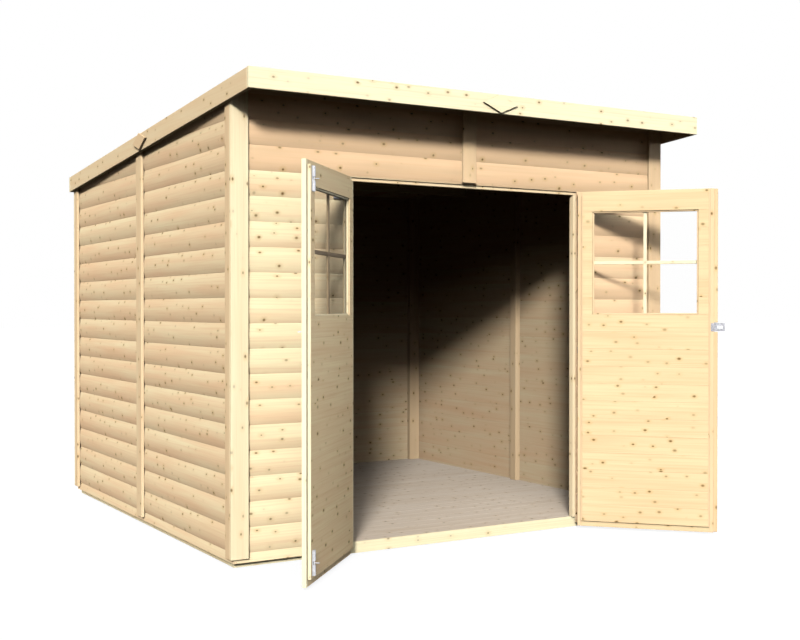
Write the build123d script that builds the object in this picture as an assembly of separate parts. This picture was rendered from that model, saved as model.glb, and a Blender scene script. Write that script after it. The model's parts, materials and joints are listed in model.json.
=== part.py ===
"""A pent-roof garden shed of prefabricated wooden wall panels, with two glazed doors.

Frame: +X runs to the right along the front, +Y into the depth, +Z up, in millimetres.
The origin lies on the ground, in the middle of the base. The doors stand open.
"""
import math
import os

from build123d import *

# Walls: width and depth are taken over the outer faces of the wall boards
wall_width = 2450.0
wall_depth = 2454.0
wall_thickness = 19.0
wall_bottom = 25.0

# Roof: the height is that of the front fascia's top edge
front_height = 2125.0
roof_pitch_deg = 4.0
front_overhang = 245.0
felt_thickness = 3.0
deck_thickness = 19.0
purlin_height = 70.0
purlin_width = 44.0
purlin_count = 3
fascia_height = 89.0
fascia_thickness = 20.0
fascia_clearance = 2.0
fascia_joint = 1.2
plate_width = 196.0
plate_thickness = 14.0
plate_margin = 2.0

# Base and floor
beam_height = 34.0
beam_width = 60.0
joist_width = 58.0
joist_count = 5
floor_thickness = 18.0
base_front_gap = 18.0

# Cover boards outside the panels
trim_thickness = 15.0
trim_bottom = 44.0
corner_board_width = 83.0
side_board_width = 53.0
batten_width = 83.0
front_batten_width = 76.0
front_batten_lift = 6.0

# Posts inside the panels
post_thickness = 34.0
corner_post_width = 78.0
mid_post_width = 58.0

# Doorway: the hole in the front panels, and the frame behind it
doorway_width = 1362.0
over_door = 394.0
frame_width = 54.0
frame_depth = 31.0
jamb_show = 15.0
head_show = 17.0

# Door leaves: outer boards with a smaller inner layer behind them
door_gap = 5.0
door_bottom = 16.5
outer_layer = 19.0
inner_layer = 13.0
inner_margin_hinge = 20.0
inner_margin_free = 19.0
inner_margin_top = 19.0
inner_margin_bottom = 28.5
left_opening_deg = 134.0
right_opening_deg = 133.0

# Window in each leaf
window_size = 522.0
window_stile = 76.0
window_top_rail = 104.0
glass_thickness = 4.0
glass_clearance = 0.3

# Hinges: a strap with an eye on the leaf, a pin on the wall
hinge_standoff = 6.0
pin_radius = 3.0
pin_clearance = 0.2
eye_radius = 5.0
strap_length = 250.0
strap_height = 32.0
strap_thickness = 3.0
strap_seat = 0.5
hinge_edge_distance = 52.0
lower_hinge_height = 160.0
pin_plate_width = 50.0
pin_plate_height = 90.0
pin_plate_gap = 5.0
pin_arm_height = 12.0
pin_cap = 4.0

# Cover strip and latch where the leaves meet
strip_width = 50.0
strip_thickness = 16.0
strip_overlap = 18.0
latch_height = 1037.0
latch_reach = 52.0
latch_length = 95.0
latch_width = 40.0
latch_plate = 3.0
latch_notch_gap = 3.0
slot_length = 28.0
slot_width = 16.0
slot_end = 9.0
staple_length = 22.0
staple_width = 14.0
staple_thickness = 5.0
staple_base_length = 30.0
staple_base_width = 34.0
backing_width = 14.0
backing_thickness = 2.0

# Slide bolts on the inside of the left leaf
bolt_plate_width = 26.0
bolt_plate_height = 102.0
bolt_plate_thickness = 2.0
bolt_plate_edge = 17.0
bolt_end_gap = 12.0
bolt_rod_radius = 2.5
bolt_rod_gap = 0.5
bolt_guide_height = 43.0
bolt_guide_width = 14.0
bolt_guide_wall = 1.5
bolt_knob_radius = 2.0
bolt_knob_length = 22.0

# Places that follow from the sizes above
half_width = wall_width / 2
half_depth = wall_depth / 2
inner_x = half_width - wall_thickness
inner_y = half_depth - wall_thickness
trim_x = half_width + trim_thickness
trim_y = half_depth + trim_thickness
deck_x = trim_x + fascia_clearance
fascia_x = deck_x + fascia_thickness
deck_rear = trim_y + fascia_clearance
fascia_rear = deck_rear + fascia_thickness
fascia_front = -trim_y - front_overhang
deck_front = fascia_front + fascia_thickness
floor_top = beam_height + floor_thickness
base_front = -inner_y + base_front_gap
half_door = doorway_width / 2
doorway_top = front_height - over_door
roof_slope = math.tan(math.radians(roof_pitch_deg))
roof_skin = felt_thickness + deck_thickness

lip_width = half_door - door_gap - door_gap / 2
lip_top = doorway_top - door_gap
window_bottom = lip_top - window_top_rail - window_size
outer_face = -half_depth - door_gap
layer_face = outer_face + outer_layer
inner_face = layer_face + inner_layer
lip_hinge_x = half_door - door_gap
lip_free_x = lip_hinge_x - lip_width
axis_x = lip_hinge_x
axis_y = outer_face - hinge_standoff
upper_hinge_height = lip_top - hinge_edge_distance
middle_hinge_height = (upper_hinge_height + lower_hinge_height) / 2
hinge_heights = [lower_hinge_height, middle_hinge_height, upper_hinge_height]


def roof_top(y):
    """Height of the roof's top plane at depth y."""
    return front_height - (y - fascia_front) * roof_slope


def deck_under(y):
    """Height of the roof boards' lower side at depth y."""
    return roof_top(y) - roof_skin


def block(x0, x1, y0, y1, z0, z1):
    """A plain block between two corners."""
    shape = Box(x1 - x0, y1 - y0, z1 - z0)
    return Pos((x0 + x1) / 2, (y0 + y1) / 2, (z0 + z1) / 2) * shape


def sloped(x0, x1, y0, y1, low, high):
    """A prism along X whose lower and upper edges, each a function of y, follow the roof."""
    corners = [(y0, low(y0)), (y1, low(y1)), (y1, high(y1)), (y0, high(y0))]
    outline = Plane.YZ * Polyline(*corners, close=True)
    return Pos(x0, 0, 0) * extrude(make_face(outline), amount=x1 - x0, dir=(1, 0, 0))


def under_roof(x0, x1, y0, y1, bottom):
    """An upright board or panel from a level bottom up to the roof boards."""
    return sloped(x0, x1, y0, y1, lambda y: bottom, deck_under)


def mirrored(shape):
    """The same shape on the other side of the shed's middle plane."""
    return mirror(shape, about=Plane.YZ)


def save(name, *solids):
    """Writes one node, with its separate solids side by side."""
    shape = solids[0] if len(solids) == 1 else Compound(children=list(solids))
    export_step(shape, f"parts/{name}.step")


def build_base():
    """Beams, joists and floor."""
    front = block(-inner_x, inner_x, base_front, base_front + beam_width, 0, beam_height)
    rear = block(-inner_x, inner_x, inner_y - beam_width, inner_y, 0, beam_height)
    save("base_beam_front", front)
    save("base_beam_rear", rear)
    pitch = (2 * inner_x - joist_width) / (joist_count - 1)
    joists = []
    for i in range(joist_count):
        left = -inner_x + i * pitch
        joist = block(left, left + joist_width, base_front + beam_width, inner_y - beam_width, 0, beam_height)
        joists.append(joist)
    save("base_joists", *joists)
    save("floor", block(-inner_x, inner_x, base_front, inner_y, beam_height, floor_top))


def build_walls():
    """Wall panels: the side panels run past the ends of the front and back panels."""
    front = under_roof(half_door, inner_x, -half_depth, -inner_y, wall_bottom)
    save("front_wall_right", front)
    save("front_wall_left", mirrored(front))
    save("front_wall_over_door", under_roof(-half_door, half_door, -half_depth, -inner_y, doorway_top))
    back = under_roof(0, inner_x, inner_y, half_depth, wall_bottom)
    save("back_wall_right", back)
    save("back_wall_left", mirrored(back))
    for name, y0, y1 in (("front", -half_depth, 0), ("rear", 0, half_depth)):
        side = under_roof(inner_x, half_width, y0, y1, wall_bottom)
        save(f"right_wall_{name}", side)
        save(f"left_wall_{name}", mirrored(side))


def build_posts():
    """Posts inside the panels, at the corners and behind the panel joints."""
    front = under_roof(inner_x - corner_post_width, inner_x, -inner_y, -inner_y + post_thickness, floor_top)
    rear = under_roof(inner_x - corner_post_width, inner_x, inner_y - post_thickness, inner_y, floor_top)
    half = mid_post_width / 2
    purlin_low = deck_under(purlin_width / 2) - purlin_height
    middle = block(inner_x - post_thickness, inner_x, -half, half, floor_top, purlin_low)
    save("right_wall_posts", front, middle, rear)
    save("left_wall_posts", mirrored(front), mirrored(middle), mirrored(rear))
    save("back_wall_post", under_roof(-half, half, inner_y - post_thickness, inner_y, floor_top))


def build_trim():
    """Cover boards over the corners and the panel joints."""
    for name, y0, y1, side0, side1 in (
        ("front", -trim_y, -half_depth, -half_depth, -half_depth + side_board_width),
        ("rear", half_depth, trim_y, half_depth - side_board_width, half_depth),
    ):
        face = under_roof(trim_x - corner_board_width, trim_x, y0, y1, trim_bottom)
        side = under_roof(half_width, trim_x, side0, side1, trim_bottom)
        corner = face + side
        save(f"{name}_right_corner_trim", corner)
        save(f"{name}_left_corner_trim", mirrored(corner))
    half = batten_width / 2
    batten = under_roof(half_width, trim_x, -half, half, trim_bottom)
    save("right_wall_batten", batten)
    save("left_wall_batten", mirrored(batten))
    save("back_wall_batten", under_roof(-half, half, half_depth, trim_y, trim_bottom))
    half = front_batten_width / 2
    foot = doorway_top + front_batten_lift
    save("front_wall_batten", under_roof(-half, half, -trim_y, -half_depth, foot))


def build_door_frame():
    """Jambs and head behind the doorway's edges; the base beam is its sill."""
    inside = half_door - jamb_show
    head_bottom = doorway_top - head_show
    rear = -inner_y + frame_depth
    jamb = block(inside, inside + frame_width, -inner_y, rear, floor_top, head_bottom)
    save("door_jamb_right", jamb)
    save("door_jamb_left", mirrored(jamb))
    reach = inside + frame_width
    save("door_head", block(-reach, reach, -inner_y, rear, head_bottom, head_bottom + frame_width))


def plate_outline():
    """The lozenge that covers a fascia's joint, seen from its front."""
    half_w = plate_width / 2
    half_h = fascia_height / 2 - plate_margin
    return Polyline((-half_w, 0), (0, -half_h), (half_w, 0), (0, half_h), close=True)


def build_roof():
    """Purlins, roof boards, felt, fascias and the lozenge plates on their joints."""
    pitch = 2 * inner_y / (purlin_count + 1)
    purlins = []
    for i in range(purlin_count):
        y0 = -inner_y + (i + 1) * pitch - purlin_width / 2
        y1 = y0 + purlin_width
        purlins.append(under_roof(-inner_x, inner_x, y0, y1, deck_under(y1) - purlin_height))
    save("roof_purlins", *purlins)
    deck_top = lambda y: roof_top(y) - felt_thickness
    save("roof_deck", sloped(-deck_x, deck_x, deck_front, deck_rear, deck_under, deck_top))
    save("roof_felt", sloped(-deck_x, deck_x, deck_front, deck_rear, deck_top, roof_top))

    half = fascia_joint / 2
    fascia_low = lambda y: roof_top(y) - fascia_height
    front_low = front_height - fascia_height
    front = block(half, fascia_x, fascia_front, deck_front, front_low, front_height)
    save("front_fascia", front, mirrored(front))
    rear_low = roof_top(fascia_rear) - fascia_height
    rear = block(half, fascia_x, deck_rear, fascia_rear, rear_low, roof_top(fascia_rear))
    save("rear_fascia", rear, mirrored(rear))
    middle = (deck_front + deck_rear) / 2
    fore = sloped(deck_x, fascia_x, deck_front, middle - half, fascia_low, roof_top)
    aft = sloped(deck_x, fascia_x, middle + half, deck_rear, fascia_low, roof_top)
    save("right_fascia", fore, aft)
    save("left_fascia", mirrored(fore), mirrored(aft))

    plate = extrude(make_face(plate_outline()), amount=plate_thickness)
    upright = Rot(90, 0, 0) * plate
    front_plate = Pos(0, fascia_front, front_height - fascia_height / 2) * upright
    rear_centre = roof_top(fascia_rear) - fascia_height / 2
    rear_plate = Pos(0, fascia_rear + plate_thickness, rear_centre) * upright
    lean = Rot(-roof_pitch_deg, 0, 0) * Rot(0, 0, 90) * upright
    side_plate = Pos(fascia_x, middle, roof_top(middle) - fascia_height / 2) * lean
    save("fascia_plates", front_plate, rear_plate, side_plate, mirrored(side_plate))


def opened(shape, angle):
    """Turns a piece of the closed right leaf to where the leaf stands open."""
    return Pos(axis_x, axis_y, 0) * Rot(0, 0, angle) * Pos(-axis_x, -axis_y, 0) * shape


def save_leaf(name, right, left):
    """Writes a piece's solids for both leaves; the left ones are drawn on the right leaf too."""
    if right:
        save(f"right_door_{name}", *[opened(solid, right_opening_deg) for solid in right])
    if left:
        save(f"left_door_{name}", *[mirrored(opened(solid, left_opening_deg)) for solid in left])


def window_hole():
    """The square hole through both layers of a closed leaf."""
    x1 = lip_hinge_x - window_stile
    x0 = x1 - window_size
    return block(x0, x1, outer_face, inner_face, window_bottom, window_bottom + window_size)


def build_leaves():
    """Outer boards, inner layer and glass of both leaves."""
    hole = window_hole()
    outer = block(lip_free_x, lip_hinge_x, outer_face, layer_face, door_bottom, lip_top) - hole
    inner = block(
        lip_free_x + inner_margin_free,
        lip_hinge_x - inner_margin_hinge,
        layer_face,
        inner_face,
        door_bottom + inner_margin_bottom,
        lip_top - inner_margin_top,
    ) - hole
    seen = hole.bounding_box()
    glass_middle = (outer_face + inner_face) / 2
    glass = block(
        seen.min.X + glass_clearance,
        seen.max.X - glass_clearance,
        glass_middle - glass_thickness / 2,
        glass_middle + glass_thickness / 2,
        seen.min.Z + glass_clearance,
        seen.max.Z - glass_clearance,
    )
    save_leaf("boards", [outer], [outer])
    save_leaf("inner_boards", [inner], [inner])
    save_leaf("glass", [glass], [glass])


def hinge_strap(height):
    """A strap on the closed leaf's face, bent to an eye around the pin."""
    low = height - strap_height / 2
    high = height + strap_height / 2
    strap = block(axis_x - strap_length, axis_x, outer_face - strap_thickness, outer_face, low, high)
    neck = block(axis_x - eye_radius, axis_x, axis_y, outer_face, low, high)
    eye = Pos(axis_x, axis_y, height) * Cylinder(eye_radius, strap_height)
    bore = Pos(axis_x, axis_y, height) * Cylinder(pin_radius + pin_clearance, strap_height)
    return strap + neck + eye - bore


def hinge_pin(height):
    """A pin on an arm from a plate on the wall, under the strap's eye."""
    arm_top = height - strap_height / 2 - strap_seat
    arm_low = arm_top - pin_arm_height
    pin_top = height + strap_height / 2 + pin_cap
    pin = Pos(axis_x, axis_y, (arm_low + pin_top) / 2) * Cylinder(pin_radius, pin_top - arm_low)
    plate_x = half_door + pin_plate_gap
    plate_y = -half_depth - strap_thickness
    half = pin_plate_height / 2
    plate = block(plate_x, plate_x + pin_plate_width, plate_y, -half_depth, height - half, height + half)
    arm_x = plate_x + 2 * pin_radius
    arm = block(axis_x, arm_x, axis_y - pin_radius, axis_y + pin_radius, arm_low, arm_top)
    root = block(plate_x, arm_x, axis_y - pin_radius, -half_depth, arm_low, arm_top)
    return pin + arm + root + plate


def build_hinges():
    """Three straps and three pins for each leaf."""
    straps = [hinge_strap(height) for height in hinge_heights]
    save_leaf("straps", straps, straps)
    pins = [hinge_pin(height) for height in hinge_heights]
    save("hinge_pins_right", *pins)
    save("hinge_pins_left", *[mirrored(pin) for pin in pins])


def build_cover_strip():
    """The strip on the right leaf that covers the leaves' joint, with a gap for the latch."""
    x0 = lip_free_x - strip_overlap
    face = outer_face - strip_thickness
    whole = block(x0, x0 + strip_width, face, outer_face, door_bottom, lip_top)
    rebate = block(x0, lip_free_x, outer_face - door_gap, outer_face, door_bottom, lip_top)
    half = latch_width / 2 + latch_notch_gap
    notch = block(x0, x0 + strip_width, face, outer_face, latch_height - half, latch_height + half)
    save_leaf("cover_strip", (whole - rebate - notch).solids(), [])


def build_latch():
    """A slotted hasp on the right leaf, and the staple on the left leaf that goes through it."""
    half = latch_width / 2
    low, high = latch_height - half, latch_height + half
    tip = lip_free_x - latch_reach
    back = outer_face - door_gap
    hasp = block(tip, tip + latch_length, back - latch_plate, back, low, high)
    seat = block(lip_free_x, tip + latch_length, back, outer_face, low, high)
    slot = block(tip + slot_end, tip + slot_end + slot_length, back - latch_plate, back,
                 latch_height - slot_width / 2, latch_height + slot_width / 2)
    backing = block(lip_free_x, lip_free_x + backing_width, layer_face, layer_face + backing_thickness, low, high)
    save_leaf("hasp", [hasp + seat - slot, backing], [])

    middle = 2 * (lip_free_x - door_gap / 2) - (tip + slot_end + slot_length / 2)
    base = block(middle - staple_base_length / 2, middle + staple_base_length / 2,
                 outer_face - backing_thickness, outer_face,
                 latch_height - staple_base_width / 2, latch_height + staple_base_width / 2)
    tongue = block(middle - staple_width / 2, middle + staple_width / 2,
                   outer_face - staple_length, outer_face,
                   latch_height - staple_thickness / 2, latch_height + staple_thickness / 2)
    eye_place = outer_face - staple_length + staple_width / 2
    eye = Pos(middle, eye_place, latch_height) * Cylinder(staple_width / 4, staple_thickness)
    save_leaf("staple", [], [base + tongue - eye])


def slide_bolt(end, way):
    """A bolt on the inner face of the closed left leaf; way is +1 for the upper one."""
    far = end - way * bolt_plate_height
    low, high = min(end, far), max(end, far)
    x0 = lip_free_x + inner_margin_free + bolt_plate_edge
    x1 = x0 + bolt_plate_width
    middle = (x0 + x1) / 2
    face = inner_face + bolt_plate_thickness
    bolt = block(x0, x1, inner_face, face, low, high)
    rod_y = face + bolt_rod_gap + bolt_rod_radius
    guide_face = rod_y + bolt_rod_radius + bolt_guide_wall
    for guide in (low, high - bolt_guide_height):
        bolt += block(middle - bolt_guide_width / 2, middle + bolt_guide_width / 2,
                      face, guide_face, guide, guide + bolt_guide_height)
    bolt += Pos(middle, rod_y, (low + high) / 2) * Cylinder(bolt_rod_radius, high - low)
    knob = Pos(middle, rod_y + bolt_knob_length / 2, (low + high) / 2) * Rot(90, 0, 0)
    bolt += knob * Cylinder(bolt_knob_radius, bolt_knob_length)
    return bolt


def build_bolts():
    """Two slide bolts that hold the left leaf."""
    top = lip_top - inner_margin_top - door_gap
    bottom = door_bottom + inner_margin_bottom + bolt_end_gap
    save_leaf("bolts", [], [slide_bolt(top, 1), slide_bolt(bottom, -1)])


os.makedirs("parts", exist_ok=True)
build_base()
build_walls()
build_posts()
build_trim()
build_door_frame()
build_roof()
build_leaves()
build_hinges()
build_cover_strip()
build_latch()
build_bolts()
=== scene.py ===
# %% [markdown]
# # A wooden garden shed
# This lesson dresses the CAD frame of a small pent-roof shed. The frame gives the sizes and
# the moving bodies; the boards, the glazing bars, the screws and all finishes are made here.
# Every new piece is measured from the frame, so that it sits exactly where its solid is.

# %% Load the frame
import json
import math
import random

import bpy
from mathutils import Matrix, Vector

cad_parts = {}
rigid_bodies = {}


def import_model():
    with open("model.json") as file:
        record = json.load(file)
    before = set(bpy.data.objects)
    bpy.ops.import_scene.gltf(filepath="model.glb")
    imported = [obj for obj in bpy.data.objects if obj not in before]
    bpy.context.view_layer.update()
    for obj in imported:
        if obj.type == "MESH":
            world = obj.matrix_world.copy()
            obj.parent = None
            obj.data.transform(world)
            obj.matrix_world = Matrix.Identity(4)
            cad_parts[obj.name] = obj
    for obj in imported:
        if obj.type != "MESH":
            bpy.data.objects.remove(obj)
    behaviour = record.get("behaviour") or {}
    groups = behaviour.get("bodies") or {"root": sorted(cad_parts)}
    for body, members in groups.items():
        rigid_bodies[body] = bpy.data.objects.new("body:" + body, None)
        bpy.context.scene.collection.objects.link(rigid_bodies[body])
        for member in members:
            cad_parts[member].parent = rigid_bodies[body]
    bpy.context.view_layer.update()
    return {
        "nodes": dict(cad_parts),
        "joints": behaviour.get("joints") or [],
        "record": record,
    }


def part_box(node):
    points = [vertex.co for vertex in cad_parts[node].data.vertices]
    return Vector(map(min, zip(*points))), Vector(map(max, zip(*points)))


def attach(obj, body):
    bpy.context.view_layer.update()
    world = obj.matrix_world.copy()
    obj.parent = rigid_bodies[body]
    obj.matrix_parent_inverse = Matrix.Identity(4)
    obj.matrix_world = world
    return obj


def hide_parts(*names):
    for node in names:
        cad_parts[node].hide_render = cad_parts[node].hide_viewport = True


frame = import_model()

# %% [markdown]
# ## The workbench
# A joiner needs few tools: a block of wood, a saw, a plane for the sharp edges and glue.
# Each is one small function around Blender's own operators. An operator works on all that is
# selected, so each function selects its piece alone first. The place of a piece is applied to
# its mesh, which leaves the object itself at the origin.

# %% Blocks, saw cuts and eased edges
X, Y, Z = 0, 1, 2
MM = 0.001
TOUCHING = 0.01 * MM
DICE_SEED = 23
dice = random.Random(DICE_SEED)


def alone(piece):
    """Selects one piece and nothing else."""
    bpy.ops.object.select_all(action="DESELECT")
    piece.select_set(True)
    bpy.context.view_layer.objects.active = piece


def edit(piece):
    """Opens a piece in edit mode with everything on it selected."""
    alone(piece)
    bpy.ops.object.mode_set(mode="EDIT")
    bpy.ops.mesh.select_all(action="SELECT")


def leave():
    """Goes back to object mode."""
    bpy.ops.object.mode_set(mode="OBJECT")


def block(low, high):
    """A cube primitive stretched between two corners."""
    low, high = Vector(low), Vector(high)
    bpy.ops.object.select_all(action="DESELECT")
    bpy.ops.mesh.primitive_cube_add(size=1, location=(low + high) / 2, scale=high - low)
    bpy.ops.object.transform_apply(location=True, rotation=True, scale=True)
    return bpy.context.object


def saw(piece, point, normal):
    """Saws off what lies beyond a plane and closes the cut."""
    edit(piece)
    bpy.ops.mesh.bisect(plane_co=point, plane_no=normal, use_fill=True, clear_outer=True)
    leave()


def ease(piece, width, steps=1):
    """Takes the sharpness off all edges, as a plane does."""
    edit(piece)
    bpy.ops.mesh.bevel(offset=width, segments=steps, affect="EDGES")
    leave()


def joined(name, pieces):
    """Joins pieces to one, under a name."""
    bpy.ops.object.select_all(action="DESELECT")
    for piece in pieces:
        piece.select_set(True)
    whole = pieces[0]
    bpy.context.view_layer.objects.active = whole
    bpy.ops.object.join()
    whole.name = whole.data.name = name
    return whole


def copied(piece, shift):
    """A copy with a mesh of its own, moved by a shift."""
    twin = piece.copy()
    twin.data = piece.data.copy()
    twin.data.transform(Matrix.Translation(shift))
    bpy.context.scene.collection.objects.link(twin)
    return twin


def corners(piece):
    """Lowest and highest corner of a mesh."""
    spots = [vertex.co for vertex in piece.data.vertices]
    return tuple(Vector(pick(s[i] for s in spots) for i in range(3)) for pick in (min, max))


def solid_boxes(node, turn=Matrix()):
    """The corners of each separate solid of a CAD node, measured on a merged copy."""
    known = set(bpy.data.objects)
    copy = bpy.data.objects.new("measure", frame["nodes"][node].data.copy())
    copy.data.transform(turn)
    bpy.context.scene.collection.objects.link(copy)
    edit(copy)
    bpy.ops.mesh.remove_doubles(threshold=TOUCHING)
    bpy.ops.mesh.separate(type="LOOSE")
    leave()
    parts = [piece for piece in bpy.data.objects if piece not in known]
    boxes = [corners(part) for part in parts]
    for part in parts:
        bpy.data.objects.remove(part)
    return sorted(boxes, key=lambda box: tuple(box[0]))


print("joists measured:", len(solid_boxes("base_joists")))

# %% [markdown]
# ## A board remembers its grain
# On real timber the rings and knots follow each board, whichever way it is nailed on. So each
# board gets two attributes while it is still single: where a point lies along and across the
# board, with a random start, and a tone for the whole board, from pale to warm. The finish
# reads both, and two boards side by side never share a knot.

# %% Grain attributes and the plain board
CRISP, EASED, BLUNT = 0.5 * MM, 1.5 * MM, 2 * MM
PALE_TONE, WARM_TONE = 0.0, 0.9
GRAIN_REACH = 40


def timber(tone=None):
    """What one board is cut from: where its grain starts, along and across, and its tone."""
    along, across = dice.uniform(0, GRAIN_REACH), dice.uniform(0, GRAIN_REACH)
    return along, across, dice.random() if tone is None else tone


def mark_grain(piece, along, across, stock):
    """Stores each point's place along and around its board, and the board's own tone."""
    start_along, start_across, tone = stock
    through = X + Y + Z - along - across
    places = []
    for vertex in piece.data.vertices:
        spot = vertex.co
        around = spot[across] + spot[through]
        places += [spot[along] + start_along, around + start_across, spot[through]]
    grain = piece.data.attributes.new("grain", "FLOAT_VECTOR", "POINT")
    grain.data.foreach_set("vector", places)
    tones = piece.data.attributes.new("tone", "FLOAT", "POINT")
    tones.data.foreach_set("value", [tone] * len(piece.data.vertices))


def board(low, high, along, cuts=(), eased=EASED, tone=None):
    """A planed board between two corners, with saw cuts and eased edges."""
    piece = block(low, high)
    for point, normal in cuts:
        saw(piece, point, normal)
    ease(piece, eased)
    size = Vector(high) - Vector(low)
    across = max((axis for axis in (X, Y, Z) if axis != along), key=lambda axis: size[axis])
    mark_grain(piece, along, across, timber(tone))
    return piece


# %% [markdown]
# ## Finishes
# The shed is planed, untreated spruce: pale yellow, salmon or the tan of heartwood, with fine
# rings along each board and many small brown knots. Colours are written as sRGB hex values and
# turned to linear in one place. One small function adds a node with its settings, values and
# links.

# %% Colours and nodes
def linear(hex_colour):
    """An sRGB hex colour as linear values for a shader socket."""
    parts = [int(hex_colour[i:i + 2], 16) / 255 for i in (1, 3, 5)]
    parts = [p / 12.92 if p <= 0.04045 else ((p + 0.055) / 1.055) ** 2.4 for p in parts]
    return (*parts, 1.0)


def add(tree, kind, values=(), links=(), **settings):
    """Adds one node: its properties, its socket values and what is linked to its sockets."""
    node = tree.nodes.new(kind)
    for name, value in settings.items():
        setattr(node, name, value)
    for socket, value in dict(values).items():
        node.inputs[socket].default_value = value
    for socket, source in dict(links).items():
        tree.links.new(source, node.inputs[socket])
    return node


def new_finish(name):
    """An empty node material with its shader."""
    material = bpy.data.materials.new(name)
    material.use_nodes = True
    tree = material.node_tree
    return material, tree, tree.nodes["Principled BSDF"]


# %% [markdown]
# ### Knots
# Knots sit about 100 mm apart along the board, 8 to 20 mm across; a soft ring of ochre lies
# around each. A Voronoi pattern that is stretched along the board gives each knot a cell of its
# own. Only some cells carry a knot, and some knots are pale, by the cell's random colour.

# %% Knots
KNOT_RUN, KNOT_STEP = 95 * MM, 62 * MM
KNOT_CHANCES = 0.32, 0.92
KNOT_SHARES, EYE_SHARE = (0.06, 0.13), 0.02
HALO_SHARES = 0.04, 0.30


def knots_and_halos(tree, grain, knot_size):
    """How dark each point is as a knot, and as the soft ring around one."""
    cells = add(tree, "ShaderNodeMapping", {"Scale": (1 / KNOT_RUN, 1 / KNOT_STEP, 0)}, {"Vector": grain})
    knots = add(tree, "ShaderNodeTexVoronoi", {"Scale": 1.0, "Randomness": 1.0},
                {"Vector": cells.outputs[0]}, voronoi_dimensions="2D")
    distance = knots.outputs["Distance"]
    chance = add(tree, "ShaderNodeSeparateColor", links={"Color": knots.outputs["Color"]})
    present = add(tree, "ShaderNodeMapRange",
                  {"From Min": KNOT_CHANCES[0], "From Max": KNOT_CHANCES[1], "To Max": 1.0},
                  {"Value": chance.outputs["Red"]})
    smallest, largest = (share * knot_size for share in KNOT_SHARES)
    reach = add(tree, "ShaderNodeMapRange", {"To Min": smallest, "To Max": largest},
                {"Value": chance.outputs["Green"]})
    core = add(tree, "ShaderNodeMapRange", {"From Min": EYE_SHARE, "To Min": 1.0, "To Max": 0.0},
               {"Value": distance, "From Max": reach.outputs[0]}, interpolation_type="SMOOTHSTEP")
    halo = add(tree, "ShaderNodeMapRange",
               {"From Min": HALO_SHARES[0], "From Max": HALO_SHARES[1], "To Min": 1.0, "To Max": 0.0},
               {"Value": distance}, interpolation_type="SMOOTHSTEP")
    return [add(tree, "ShaderNodeMath", links={0: pattern.outputs[0], 1: present.outputs[0]},
                operation="MULTIPLY").outputs[0] for pattern in (core, halo)]


# %% [markdown]
# ### Planed spruce
# Rings run along the board, about 9 mm apart and half a metre long before they fade, and they
# bend around the knots. Fibres are finer than the picture can show, so they are drawn 3 mm wide.
# The board's tone and a slow change along it choose the colour between pale, salmon and
# heartwood. Faces marked as shaded get a grey multiplied in, as painted shade. The gloss is faint:
# planed spruce is matt.

# %% Spruce
RING_RUN, RING_STEP = 520 * MM, 9 * MM
FIBRE_RUN, FIBRE_STEP = 160 * MM, 3 * MM
CHANGE_RUN, CHANGE_STEP = 600 * MM, 50 * MM
PALE_STOP, SALMON_STOP, HEARTWOOD_STOP = 0.32, 0.70, 0.95
RING_LEVELS, RING_DEPTH = (0.46, 0.76), 0.50
FIBRE_LEVELS, FIBRE_DEPTH = (0.35, 0.75), 0.16
HALO_DEPTH, KNOT_DEPTH = 0.30, 0.92
RELIEF, RELIEF_STRENGTH = 0.5 * MM, 0.12
ROUGHNESS_SPREAD = 0.08
WOOD_IOR, WOOD_SPECULAR = 1.45, 0.12
# The last colour is the grey of painted shade on faces that look into the room.
BROWN, OCHRE, HEARTWOOD, ROOM_SHADE_GREY = "#6A4C1C", "#C9A050", "#E4C39A", "#D3D2D3"


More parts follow.
